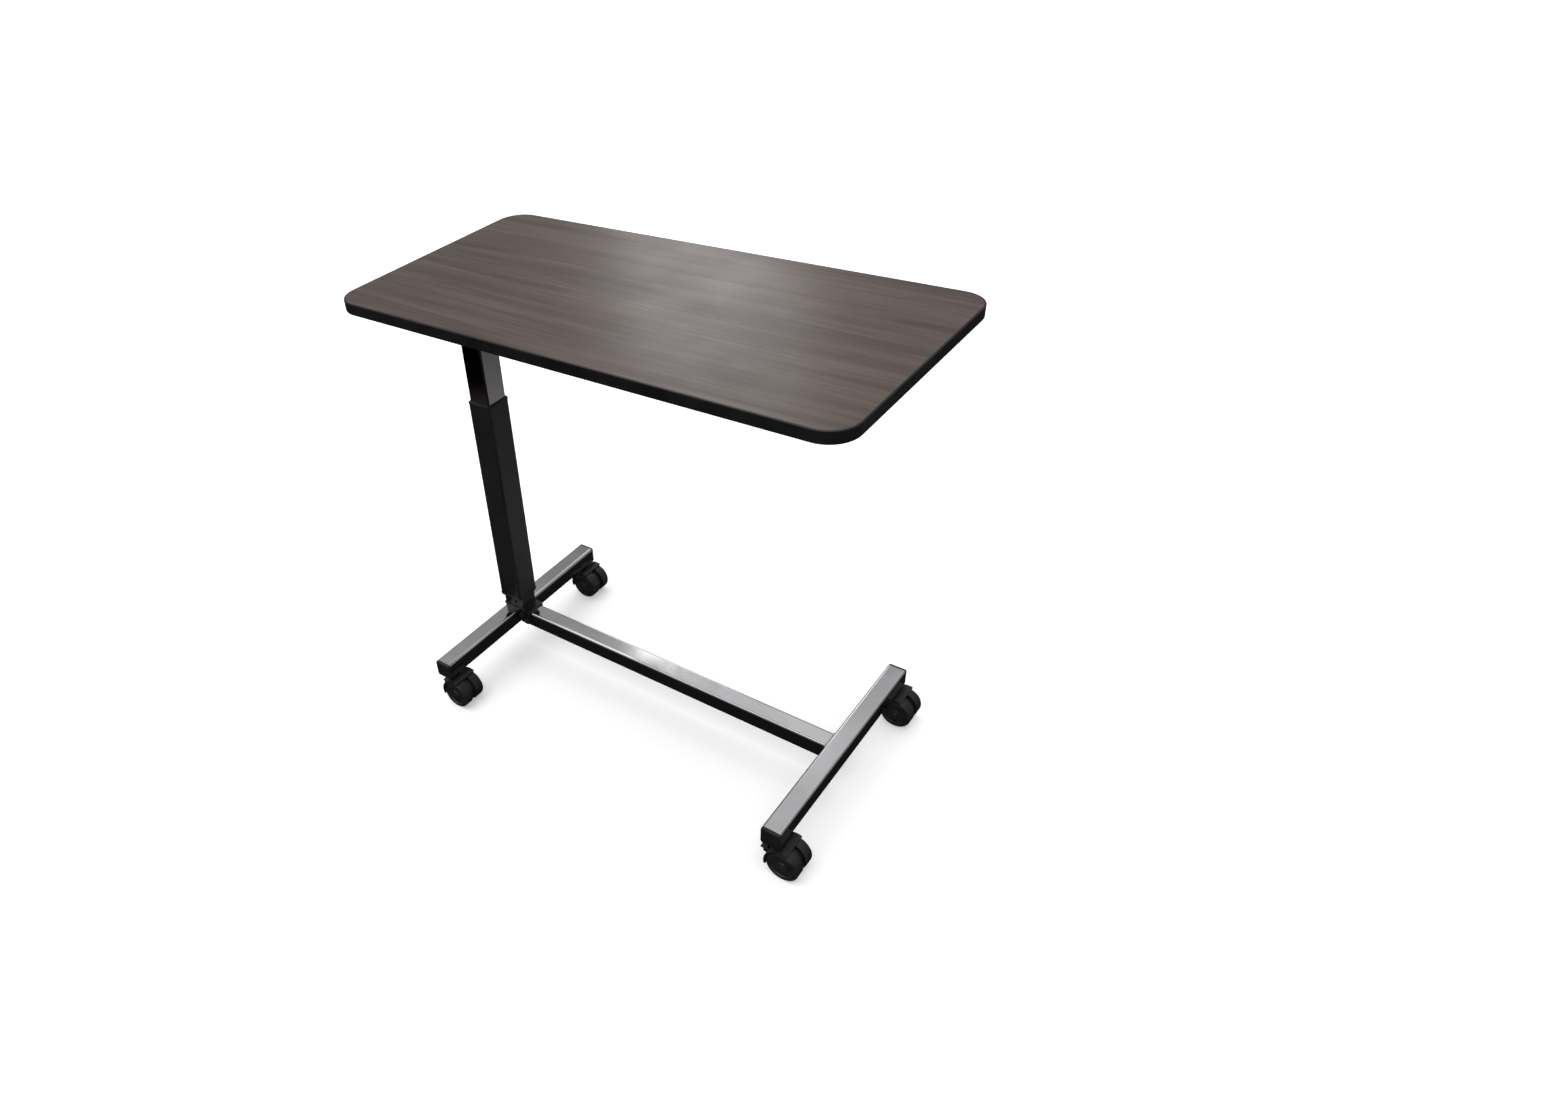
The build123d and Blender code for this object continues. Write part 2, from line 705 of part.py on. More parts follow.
def sector(inner, outer, start, end):
    """Draw a ring sector about the sketch's origin, angles in degrees."""
    with BuildLine(mode=Mode.PRIVATE) as outline:
        CenterArc((0, 0), outer, start, end - start)
        CenterArc((0, 0), inner, start, end - start)
        for angle in (start, end):
            radians = math.radians(angle)
            direction = Vector(math.cos(radians), math.sin(radians))
            Line(direction * inner, direction * outer)
    make_face(outline.edges())


for name, x, side in corners:
    y = side * stem_y
    axle_x = x + caster_trail
    braked = side < 0

    # Threaded stem, screwed into the leg, with the spindle that the hood turns on.
    with BuildPart() as caster_stem:
        with BuildSketch(Plane.XY.offset(hood_top - spindle_length)):
            with Locations((x, y)):
                Circle(stem_radius)
        extrude(amount=tube_bottom + 21.0 - hood_top + spindle_length)
        with BuildSketch(Plane.XY.offset(hood_top + 0.3)):
            with Locations((x, y)):
                RegularPolygon(6.5, 6, major_radius=False)
        extrude(amount=tube_bottom - hood_top - 0.3)
    caster_stem.part.label = f"{name}_caster_stem"
    export_step(caster_stem.part, f"parts/{name}_caster_stem.step")

    # Hood: a fender over both wheels, a web between them and a boss for the stem.
    with BuildPart() as hood:
        with BuildSketch(plane_along_y(axle_x, y + wheel_outer, wheel_radius)):
            sector(fender_inner - 4.0, fender_outer, fender_start, fender_end)
        extrude(amount=2 * wheel_outer)
        with BuildSketch(Plane.XY.offset(boss_bottom)):
            with Locations((x, y)):
                Circle(boss_radius)
        extrude(amount=hood_top - boss_bottom)
        # Room for the wheels.
        for wheel_side in (-1, 1):
            with BuildSketch(plane_along_y(axle_x, y + wheel_side * web_half, wheel_radius)):
                Circle(fender_inner)
            extrude(amount=-wheel_side * (wheel_outer + 1.0), mode=Mode.SUBTRACT)
        with BuildSketch(plane_along_y(axle_x, y + web_half, wheel_radius)):
            Circle(19.5)
            sector(15.0, fender_outer, fender_start, fender_end)
        extrude(amount=2 * web_half)
        # Bore for the stem and for the axle.
        with BuildSketch(Plane.XY.offset(hood_top - 14.0)):
            with Locations((x, y)):
                Circle(stem_radius + fit)
        extrude(amount=14.0, mode=Mode.SUBTRACT)
        with BuildSketch(plane_along_y(axle_x, y + web_half, wheel_radius)):
            Circle(axle_radius + 0.02)
        extrude(amount=2 * web_half, mode=Mode.SUBTRACT)
        if braked:
            # Ears for the brake pedal, and a window behind it.
            with BuildSketch(plane_along_y(axle_x, y + pedal_half + 3.0, wheel_radius)):
                with Locations(pedal_pivot):
                    Circle(3.2)
                with Locations((pedal_pivot[0] + 3.0, pedal_pivot[1])):
                    Rectangle(6.0, 6.4)
            extrude(amount=2 * pedal_half + 6.0)
            with BuildSketch(plane_along_y(axle_x, y + pedal_half + 0.4, wheel_radius)):
                with Locations((-fender_outer - 1.0, 3.5)):
                    Rectangle(14.0, 15.0)
            extrude(amount=2 * pedal_half + 0.8, mode=Mode.SUBTRACT)
            with BuildSketch(plane_along_y(axle_x, y + pedal_half + 4.0, wheel_radius)):
                with Locations(pedal_pivot):
                    Circle(pedal_pin_radius + fit)
            extrude(amount=2 * pedal_half + 8.0, mode=Mode.SUBTRACT)
    hood.part.label = f"{name}_caster_hood"
    export_step(hood.part, f"parts/{name}_caster_hood.step")

    with BuildPart() as caster_axle:
        with BuildSketch(plane_along_y(axle_x, y + wheel_outer - 0.8, wheel_radius)):
            Circle(axle_radius)
        extrude(amount=2 * wheel_outer - 1.6)
        chamfer(caster_axle.edges().filter_by(GeomType.CIRCLE), length=0.5)
    caster_axle.part.label = f"{name}_caster_axle"
    export_step(caster_axle.part, f"parts/{name}_caster_axle.step")

    for wheel_name, wheel_side in (("front", -1), ("rear", 1)):
        # Cup-shaped wheel: radius along the sketch's x, width along its y.
        inner_y = wheel_side * wheel_inner
        outer_y = wheel_side * wheel_outer
        disc_y = wheel_side * (wheel_outer - 5.0)
        face_y = wheel_side * (wheel_outer - 2.0)
        hub_y = wheel_side * (wheel_outer - 0.6)
        with BuildPart() as wheel:
            with BuildSketch(Plane(origin=(axle_x, y, wheel_radius))):
                with BuildLine():
                    Polyline(
                        (axle_radius + fit, inner_y),
                        (hub_radius, inner_y),
                        (hub_radius, disc_y),
                        (dome_radius, disc_y),
                        (dome_radius, inner_y),
                        (wheel_radius, inner_y),
                        (wheel_radius, outer_y),
                        (rim_radius, outer_y),
                        (rim_radius - 1.0, face_y),
                        (hub_radius + 1.0, face_y),
                        (hub_radius, hub_y),
                        (axle_radius + fit, hub_y),
                        close=True,
                    )
                make_face()
                tread = vertices().group_by(Axis.X)[-1].sort_by(Axis.Y)
                if wheel_side < 0:
                    outer_vertex, inner_vertex = tread
                else:
                    inner_vertex, outer_vertex = tread
                fillet(outer_vertex, radius=3.5)
                fillet(inner_vertex, radius=1.2)
            revolve(axis=Axis((axle_x, y, wheel_radius), (0, 1, 0)))
        label = f"{name}_caster_{wheel_name}_wheel"
        wheel.part.label = label
        export_step(wheel.part, f"parts/{label}.step")

    if braked:
        # Pedal with a toe tab outside and a brake shoe that turns towards the wheels.
        with BuildPart() as pedal:
            with BuildSketch(plane_along_y(axle_x, y + pedal_half, wheel_radius)):
                with Locations(pedal_pivot):
                    Circle(2.8)
                with BuildLine():
                    px, pz = pedal_pivot
                    Polyline(
                        (px + 1.0, pz + 2.6),
                        (px - 9.0, pz + 1.0),
                        (px - 9.0, pz - 1.6),
                        (px - 1.0, pz - 2.4),
                        (px + 3.4, pz - 6.0),
                        (px + 5.2, pz - 5.0),
                        (px + 2.6, pz + 1.0),
                        close=True,
                    )
                make_face()
            extrude(amount=2 * pedal_half)
            with BuildSketch(plane_along_y(axle_x, y + pedal_half + 2.6, wheel_radius)):
                with Locations(pedal_pivot):
                    Circle(pedal_pin_radius)
            extrude(amount=2 * pedal_half + 5.2)
        pedal.part.label = f"{name}_brake_pedal"
        export_step(pedal.part, f"parts/{name}_brake_pedal.step")
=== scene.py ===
import json
import math

import bmesh
import bpy
from mathutils import Matrix, Vector


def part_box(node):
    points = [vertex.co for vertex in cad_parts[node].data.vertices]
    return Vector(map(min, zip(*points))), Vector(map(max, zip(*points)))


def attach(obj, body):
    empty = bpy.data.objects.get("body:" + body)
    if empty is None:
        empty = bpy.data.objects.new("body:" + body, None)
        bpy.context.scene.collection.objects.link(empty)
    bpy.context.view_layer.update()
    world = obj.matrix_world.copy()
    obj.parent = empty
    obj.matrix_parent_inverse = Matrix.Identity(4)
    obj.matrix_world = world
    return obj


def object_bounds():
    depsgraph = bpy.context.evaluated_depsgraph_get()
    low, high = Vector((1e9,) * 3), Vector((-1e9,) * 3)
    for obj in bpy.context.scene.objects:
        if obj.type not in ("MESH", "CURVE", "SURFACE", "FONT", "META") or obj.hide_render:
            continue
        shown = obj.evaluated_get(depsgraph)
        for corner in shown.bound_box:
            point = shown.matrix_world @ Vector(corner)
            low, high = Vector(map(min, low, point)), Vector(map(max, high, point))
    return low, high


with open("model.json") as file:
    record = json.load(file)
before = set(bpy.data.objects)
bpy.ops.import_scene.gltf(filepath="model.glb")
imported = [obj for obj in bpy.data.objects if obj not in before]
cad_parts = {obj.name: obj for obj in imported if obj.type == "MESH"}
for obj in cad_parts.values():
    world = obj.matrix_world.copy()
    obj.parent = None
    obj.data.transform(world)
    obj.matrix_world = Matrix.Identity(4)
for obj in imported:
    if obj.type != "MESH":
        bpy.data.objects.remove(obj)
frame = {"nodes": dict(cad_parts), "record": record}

nodes = frame["nodes"]
cad_low, cad_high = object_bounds()

MM = 0.001


def add_object(name, data):
    """Put an object with this data into the scene."""
    item = bpy.data.objects.new(name, data)
    bpy.context.scene.collection.objects.link(item)
    return item


def fill_ramp(node, stops):
    """Give a colour ramp its stops: (position, colour) pairs."""
    elements = node.color_ramp.elements
    while len(elements) < len(stops):
        elements.new(0.5)
    for element, (position, colour) in zip(elements, stops):
        element.position = position
        element.color = colour


# ---------------------------------------------------------------- materials


def srgb(red, green, blue):
    """A colour written as 0 to 255 sRGB values, as linear RGBA."""
    def linear(value):
        share = value / 255
        return share / 12.92 if share <= 0.04045 else ((share + 0.055) / 1.055) ** 2.4
    return (linear(red), linear(green), linear(blue), 1.0)


class Surface:
    """A Principled material whose textures lie in the piece's own coordinates, in metres."""

    def __init__(self, name, **sockets):
        self.material = bpy.data.materials.new(name)
        self.material.use_nodes = True
        self.tree = self.material.node_tree
        self.shader = self.tree.nodes["Principled BSDF"]
        self.place = self.add("ShaderNodeTexCoord").outputs["Object"]
        for socket, value in sockets.items():
            self.shader.inputs[socket.replace("_", " ")].default_value = value

    def add(self, kind, inputs=None, **settings):
        """Add a node, set its settings, and fill its inputs with values or links."""
        node = self.tree.nodes.new(kind)
        for key, value in settings.items():
            setattr(node, key, value)
        for socket, value in (inputs or {}).items():
            if isinstance(value, bpy.types.NodeSocket):
                self.tree.links.new(value, node.inputs[socket])
            else:
                node.inputs[socket].default_value = value
        return node

    def stretched(self, x, y, z):
        """Coordinates scaled along each axis, to draw a texture out along the others."""
        inputs = {"Vector": self.place, "Scale": (x, y, z)}
        return self.add("ShaderNodeMapping", inputs).outputs["Vector"]

    def noise(self, scale, detail=4.0, roughness=0.5, distortion=0.0, vector=None):
        """Cloudy noise, mostly between 0.3 and 0.7."""
        inputs = {
            "Vector": vector or self.place,
            "Scale": scale,
            "Detail": detail,
            "Roughness": roughness,
            "Distortion": distortion,
        }
        return self.add("ShaderNodeTexNoise", inputs).outputs["Fac"]

    def cells(self, scale, vector=None, randomness=1.0):
        """Distance to the nearest of many scattered points."""
        inputs = {"Vector": vector or self.place, "Scale": scale, "Randomness": randomness}
        return self.add("ShaderNodeTexVoronoi", inputs).outputs["Distance"]

    def ramp(self, factor, stops):
        """Colours along a factor: stops are (position, colour) pairs."""
        node = self.add("ShaderNodeValToRGB", {"Fac": factor})
        fill_ramp(node, stops)
        return node.outputs["Color"]

    def spread(self, factor, low, high, start=0.0, end=1.0):
        """A factor between start and end, mapped to low and high."""
        inputs = {"Value": factor, "From Min": start, "From Max": end, "To Min": low, "To Max": high}
        return self.add("ShaderNodeMapRange", inputs).outputs["Result"]

    def calculate(self, first, second, operation="ADD"):
        """Arithmetic on two factors: by default they are added."""
        return self.add("ShaderNodeMath", {0: first, 1: second}, operation=operation).outputs[0]

    def mix(self, factor, first, second, blend="MIX"):
        """The second colour laid over the first, as far as the factor says."""
        inputs = {0: factor, 6: first, 7: second}
        node = self.add("ShaderNodeMix", inputs, data_type="RGBA", blend_type=blend)
        return node.outputs[2]

    def bump(self, height, strength, distance, normal=None):
        """The normal of a surface raised by a height, at most by a distance."""
        inputs = {"Height": height, "Strength": strength, "Distance": distance}
        if normal is not None:
            inputs["Normal"] = normal
        return self.add("ShaderNodeBump", inputs).outputs["Normal"]

    def rounded(self, radius):
        """The normal of edges rounded off to a radius."""
        return self.add("ShaderNodeBevel", {"Radius": radius}, samples=6).outputs["Normal"]

    def edges(self, radius):
        """Near 1 on sharp edges and 0 on flat faces: how far a rounded normal leaves the true one."""
        true = self.add("ShaderNodeNewGeometry").outputs["Normal"]
        inputs = {0: self.rounded(radius), 1: true}
        agree = self.add("ShaderNodeVectorMath", inputs, operation="DOT_PRODUCT").outputs["Value"]
        return self.spread(agree, 1.0, 0.0, start=0.75, end=0.98)

    def finish(self, colour=None, roughness=None, normal=None):
        """The finished material, with what is given linked to its shader."""
        sockets = {"Base Color": colour, "Roughness": roughness, "Normal": normal}
        for socket, value in sockets.items():
            if value is not None:
                self.tree.links.new(value, self.shader.inputs[socket])
        return self.material


def walnut_laminate():
    """Satin wood-grain laminate, dark grey-brown, with its grain along the top."""
    s = Surface("walnut_laminate", Specular_IOR_Level=0.5)
    figure = s.noise(1.0, 6.0, 0.55, 0.9, s.stretched(2.2, 34.0, 34.0))
    streaks = s.noise(1.0, 5.0, 0.6, 0.35, s.stretched(5.0, 210.0, 210.0))
    fibres = s.noise(1.0, 3.0, 0.6, 0.0, s.stretched(22.0, 1400.0, 1400.0))
    pores = s.noise(1.0, 2.0, 0.5, 0.0, s.stretched(75.0, 2600.0, 2600.0))
    tone = s.ramp(figure, [
        (0.28, srgb(73, 61, 56)),
        (0.47, srgb(92, 77, 71)),
        (0.62, srgb(104, 89, 83)),
        (0.78, srgb(86, 73, 68)),
    ])
    streak_tone = s.ramp(streaks, [(0.33, srgb(156, 146, 136)), (0.6, srgb(255, 255, 255))])
    colour = s.mix(0.55, tone, streak_tone, "MULTIPLY")
    fibre_tone = s.ramp(fibres, [(0.3, srgb(176, 170, 166)), (0.65, srgb(255, 255, 255))])
    colour = s.mix(0.4, colour, fibre_tone, "MULTIPLY")
    pore_mask = s.spread(pores, 0.0, 1.0, 0.66, 0.72)
    colour = s.mix(s.calculate(pore_mask, 0.55, "MULTIPLY"), colour, srgb(26, 22, 20))
    smears = s.noise(9.0, 3.0, 0.5)
    roughness = s.calculate(s.spread(smears, 0.27, 0.36, 0.3, 0.7), s.spread(fibres, -0.02, 0.03))
    height = s.calculate(s.calculate(fibres, 0.5, "MULTIPLY"), pore_mask, "SUBTRACT")
    normal = s.bump(height, 0.16, 0.00012)
    return s.finish(colour, roughness, normal)


def chrome(name="chrome_tube", tint=(200, 200, 202), scale=1.0):
    """Bright chrome plate with faint polishing lines, smears and tiny pits."""
    s = Surface(name, Metallic=1.0)
    smears = s.noise(14.0 * scale, 4.0, 0.6, 0.6)
    specks = s.noise(900.0 * scale, 2.0, 0.5)
    smear_depth = 14
    smeared = [value - smear_depth for value in tint]
    colour = s.ramp(smears, [(0.3, srgb(*smeared)), (0.7, srgb(*tint))])
    roughness = s.calculate(s.spread(smears, 0.045, 0.12, 0.3, 0.7), s.spread(specks, -0.015, 0.03))
    lines = s.noise(1.0, 2.0, 0.5, 0.0, s.stretched(26.0, 26.0, 2400.0))
    normal = s.bump(s.calculate(lines, specks), 0.05, 0.00003)
    return s.finish(colour, roughness, normal)


def black_enamel(name="black_enamel", shade=17, roughness=0.38):
    """Satin black powder coat: a fine orange peel, and paler where edges have rubbed."""
    s = Surface(name, Specular_IOR_Level=0.5)
    patches = s.noise(12.0, 3.0, 0.5)
    rub = s.noise(160.0, 4.0, 0.65)
    worn = s.calculate(s.edges(0.0009), s.spread(rub, 0.0, 1.0, 0.5, 0.72), "MULTIPLY")
    base = s.ramp(patches, [
        (0.3, srgb(shade, shade, shade)),
        (0.7, srgb(shade + 7, shade + 7, shade + 8)),
    ])
    colour = s.mix(s.calculate(worn, 0.7, "MULTIPLY"), base, srgb(96, 96, 98))
    peel = s.noise(620.0, 3.0, 0.55)
    rough = s.spread(patches, roughness - 0.05, roughness + 0.08, 0.3, 0.7)
    normal = s.bump(peel, 0.22, 0.00025, s.rounded(0.0006))
    return s.finish(colour, rough, normal)


def moulded_plastic(name="black_plastic", shade=16, roughness=0.5, grain=1300.0):
    """Black moulded nylon with a spark-eroded texture, scuffed pale on its edges."""
    s = Surface(name, Specular_IOR_Level=0.45)
    patches = s.noise(30.0, 3.0, 0.5)
    texture = s.cells(grain)
    scuffs = s.noise(240.0, 5.0, 0.7)
    worn = s.calculate(s.edges(0.0008), s.spread(scuffs, 0.0, 1.0, 0.48, 0.7), "MULTIPLY")
    base = s.ramp(patches, [
        (0.3, srgb(shade, shade, shade)),
        (0.7, srgb(shade + 8, shade + 8, shade + 8)),
    ])
    colour = s.mix(s.calculate(worn, 0.6, "MULTIPLY"), base, srgb(58, 58, 58))
    rough = s.spread(scuffs, roughness - 0.06, roughness + 0.12, 0.3, 0.7)
    normal = s.bump(texture, 0.18, 0.0002, s.rounded(0.0006))
    return s.finish(colour, rough, normal)


def wheel_plastic():
    """Black nylon wheel, greyed by dust and floor scuffs towards its tread."""
    s = Surface("wheel_plastic", Specular_IOR_Level=0.45)
    dust = s.noise(70.0, 5.0, 0.65, 0.3)
    scratches = s.noise(1.0, 3.0, 0.6, 0.4, s.stretched(500.0, 120.0, 500.0))
    worn = s.calculate(s.edges(0.0015), s.spread(dust, 0.2, 1.0, 0.4, 0.7), "MULTIPLY")
    base = s.ramp(dust, [(0.35, srgb(18, 18, 18)), (0.75, srgb(38, 37, 36))])
    colour = s.mix(s.calculate(worn, 0.55, "MULTIPLY"), base, srgb(92, 90, 87))
    rough = s.spread(scratches, 0.34, 0.56, 0.3, 0.7)
    normal = s.bump(scratches, 0.12, 0.0002)
    return s.finish(colour, rough, normal)


def edge_trim():
    """Extruded black vinyl T-moulding with faint lines along its length."""
    s = Surface("edge_trim", Specular_IOR_Level=0.45)
    patches = s.noise(22.0, 3.0, 0.5)
    lines = s.noise(1.0, 2.0, 0.5, 0.0, s.stretched(4.0, 4.0, 1500.0))
    colour = s.ramp(patches, [(0.3, srgb(12, 12, 12)), (0.7, srgb(20, 19, 19))])
    # The strip's two ends meet in a hairline in the middle of the rear edge.
    seam_half_width = 0.3 * MM
    rear_from = 100.0 * MM
    groove_depth = 8.0
    axes = s.add("ShaderNodeSeparateXYZ", {"Vector": s.place}).outputs
    near_seam = s.calculate(s.calculate(axes["X"], 0.0, "ABSOLUTE"), seam_half_width, "LESS_THAN")
    rear = s.calculate(axes["Y"], rear_from, "GREATER_THAN")
    seam = s.calculate(near_seam, rear, "MULTIPLY")
    colour = s.mix(seam, colour, srgb(2, 2, 2))
    rough = s.spread(patches, 0.36, 0.46, 0.3, 0.7)
    groove = s.calculate(seam, groove_depth, "MULTIPLY")
    normal = s.bump(s.calculate(lines, groove, "SUBTRACT"), 0.1, 0.0001)
    return s.finish(colour, rough, normal)


def zinc_steel():
    """Bright zinc plate with a faint yellow-blue passivation and turning marks."""
    s = Surface("zinc_steel", Metallic=1.0)
    tint = s.noise(120.0, 3.0, 0.6, 0.8)
    colour = s.ramp(tint, [
        (0.3, srgb(168, 172, 178)),
        (0.55, srgb(186, 184, 176)),
        (0.75, srgb(160, 160, 158)),
    ])
    marks = s.noise(1.0, 2.0, 0.5, 0.0, s.stretched(300.0, 300.0, 3000.0))
    rough = s.spread(marks, 0.26, 0.42, 0.3, 0.7)
    normal = s.bump(marks, 0.12, 0.00006)
    return s.finish(colour, rough, normal)


def backing_sheet():
    """Brown phenolic backing sheet, matt, with a soft fibre pattern and storage scuffs."""
    s = Surface("backing_paper", Specular_IOR_Level=0.35)
    fibre = s.noise(1.0, 6.0, 0.7, 0.5, s.stretched(160.0, 420.0, 160.0))
    scuffs = s.noise(26.0, 5.0, 0.7, 0.6)
    base = s.ramp(fibre, [(0.3, srgb(62, 50, 42)), (0.7, srgb(84, 70, 60))])
    colour = s.mix(s.spread(scuffs, 0.0, 0.2, 0.56, 0.8), base, srgb(104, 92, 82))
    rough = s.spread(scuffs, 0.55, 0.72, 0.3, 0.7)
    normal = s.bump(fibre, 0.12, 0.0002)
    return s.finish(colour, rough, normal)


def particle_board():
    """Pressed wood chips in resin."""
    s = Surface("particle_board", Specular_IOR_Level=0.2)
    chips = s.cells(520.0, s.stretched(1.0, 1.0, 2.4))
    grain = s.noise(260.0, 4.0, 0.6)
    base = s.ramp(chips, [(0.0, srgb(150, 118, 84)), (0.6, srgb(196, 166, 126))])
    colour = s.mix(0.4, base, s.ramp(grain, [(0.3, srgb(120, 90, 60)), (0.7, srgb(214, 186, 146))]))
    rough = s.spread(grain, 0.75, 0.95)
    return s.finish(colour, rough, s.bump(chips, 0.5, 0.0006))


def natural_nylon():
    """Unpigmented nylon: milky, waxy, a little rubbed."""
    s = Surface("glide_nylon", Specular_IOR_Level=0.5, Subsurface_Weight=0.15)
    cloud = s.noise(60.0, 4.0, 0.6)
    colour = s.ramp(cloud, [(0.3, srgb(206, 204, 196)), (0.7, srgb(226, 224, 216))])
    rough = s.spread(cloud, 0.4, 0.55, 0.3, 0.7)
    return s.finish(colour, rough, s.bump(s.noise(700.0), 0.1, 0.0001))


materials = {
    "walnut_laminate": walnut_laminate(),
    "chrome_tube": chrome(),
    "rod_chrome": chrome("rod_chrome", (216, 216, 218), 3.0),
    "black_enamel": black_enamel(),
    "dark_steel": black_enamel("dark_steel", 24, 0.45),
    "spring_steel": black_enamel("spring_steel", 14, 0.24),
    "black_plastic": moulded_plastic(),
    "wheel_plastic": wheel_plastic(),
    "edge_trim": edge_trim(),
    "zinc_steel": zinc_steel(),
    "backing_paper": backing_sheet(),
    "particle_board": particle_board(),
    "glide_nylon": natural_nylon(),
}

for part in frame["record"]["subparts"]:
    node = nodes[part["node"]]
    node.data.materials.clear()
    node.data.materials.append(materials[part["material_slot"]])


# ---------------------------------------------------------------- welds


def rounded_square(half, corner, steps=5):
    """Points around a rounded square about the origin, counterclockwise."""
    points = []
    for index, (sign_x, sign_y) in enumerate(((1, 1), (-1, 1), (-1, -1), (1, -1))):
        centre = Vector((sign_x * (half - corner), sign_y * (half - corner)))
        for step in range(steps + 1):
            angle = math.pi / 2 * (index + step / steps)
            points.append(centre + corner * Vector((math.cos(angle), math.sin(angle))))
    return points


def evenly(points, closed, gap):
    """Points about one gap apart along a path."""
    path = points + points[:1] if closed else points
    spans = [(end - start).length for start, end in zip(path, path[1:])]
    count = max(4, round(sum(spans) / gap))
    result = []
    for index in range(count if closed else count + 1):
        along = sum(spans) * index / count
        for start, end, span in zip(path, path[1:], spans):
            if along <= span + 1e-9:
                result.append(start.lerp(end, min(1.0, along / span)))
                break
            along -= span
    return result


def weld_bead(mesh, points, closed, up, radius):
    """Sweep a bead along points: overlapping ripples, each a little off in size and height."""
    gap = 0.4 * MM
    rings_per_ripple = 4
    sides = 8
    flatness = 0.8
    # Shares of the radius: a ripple's tail, its swell, and how much ripples differ and wander.
    tail, swell, unevenness, wandering = 0.86, 0.2, 0.07, 0.12
    # Steps of the sines that make one ripple unlike the next.
    size_step, wander_step = 12.9898, 4.37
    # An open bead's two ends are half as thick as the rest.
    end_share = 0.5**2
    path = evenly([Vector(point) for point in points], closed, gap)
    count = len(path)
    rings = []
    for index, point in enumerate(path):
        before = path[index - 1] if closed or index else point
        after = path[(index + 1) % count] if closed or index < count - 1 else point
        along = (after - before).normalized()
        side = along.cross(up).normalized()
        lift = side.cross(along).normalized()
        phase = index % rings_per_ripple / rings_per_ripple
        ripple = index // rings_per_ripple
        thickness = tail + swell * (1.0 - phase) + unevenness * math.sin(ripple * size_step)
        size = radius * thickness
        wander = radius * wandering * math.sin(ripple * wander_step)
        if not closed:
            from_end = min(index, count - 1 - index) * gap
            size *= math.sqrt(min(1.0, end_share + from_end / (2.0 * radius)))
        ring = []
        for step in range(sides):
            angle = 2 * math.pi * step / sides
            across = math.cos(angle) * size + wander
            offset = side * across + lift * math.sin(angle) * size * flatness
            ring.append(mesh.verts.new(point + offset))
        rings.append(ring)
    for index in range(count if closed else count - 1):
        ring, following = rings[index], rings[(index + 1) % count]
        for step in range(sides):
            beside = (step + 1) % sides
            mesh.faces.new((ring[step], ring[beside], following[beside], following[step]))
    if not closed:
        mesh.faces.new(rings[0][::-1])
        mesh.faces.new(rings[-1])


def weld(name, beads, slot, body):
    """One piece made of several beads, each (points, closed, up, radius in mm)."""
    mesh = bmesh.new()
    for points, closed, up, radius in beads:
        weld_bead(mesh, points, closed, Vector(up), radius * MM)
    bmesh.ops.recalc_face_normals(mesh, faces=mesh.faces)
    for face in mesh.faces:
        face.smooth = True
    data = bpy.data.meshes.new(name)
    mesh.to_mesh(data)
    mesh.free()
    data.materials.append(materials[slot])
    piece = add_object(name, data)
    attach(piece, body)


def stretcher_welds():
    """Beads where the stretcher meets the legs."""
    tube_low, tube_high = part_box("stretcher_tube")
    middle_z = (tube_low.z + tube_high.z) / 2
    half = (tube_high.z - tube_low.z) / 2
    tube_corner = 4.0 * MM
    bead_radius = 2.0
    # Above and below the stretcher the bead lies this far into the leg's rounded edge.
    inset = 1.2 * MM
    flat_depth = 1.0 * MM

    around = []
    for point in rounded_square(half, tube_corner):
        flat = inset if abs(point.y) > half - flat_depth else 0.0
        z = middle_z + point.y - math.copysign(flat, point.y)
        around.append((tube_high.x + flat, point.x, z))
    bead = (around, True, (1, 0, 0), bead_radius)
    weld("stretcher_weld_right", [bead], "chrome_tube", "base")

    left_x = tube_low.x - inset
    low_z = tube_low.z + inset
    half_length = 12.0 * MM
    under = [(left_x, -half_length, low_z), (left_x, half_length, low_z)]
    bead = (under, False, (0, 0, -1), bead_radius)
    weld("stretcher_weld_left", [bead], "chrome_tube", "base")


def foot_weld():
    """Beads round the column's lower end, and round both ends of the neck under it."""
    _, stretcher_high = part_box("stretcher_tube")
    bracket_low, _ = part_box("foot_bracket")
    column_low, column_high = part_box("outer_column")
    column = (column_low + column_high) / 2
    wall = (column_high.x - column_low.x) / 2
    proud = 0.3 * MM
    ring_corner = 4.3 * MM
    ring = [
        (column.x + point.x, column.y + point.y, column_low.z)
        for point in rounded_square(wall + proud, ring_corner)
    ]
    carrier_thick = 4.0 * MM
    saddle_thick = 3.0 * MM
    neck_half = 16.0 * MM
    neck_right = column_high.x - 1.0 * MM
    neck = [
        (neck_right, -neck_half),
        (neck_right, neck_half),
        (bracket_low.x, neck_half),
        (bracket_low.x, -neck_half),
    ]
    neck_foot = [(x, y, stretcher_high.z + saddle_thick) for x, y in neck]
    neck_top = [(x, y, column_low.z - carrier_thick) for x, y in neck]
    up = (0, 0, 1)
    beads = [(ring, True, up, 1.0), (neck_foot, True, up, 1.6), (neck_top, True, up, 1.4)]
    weld("foot_bracket_weld", beads, "black_enamel", "base")


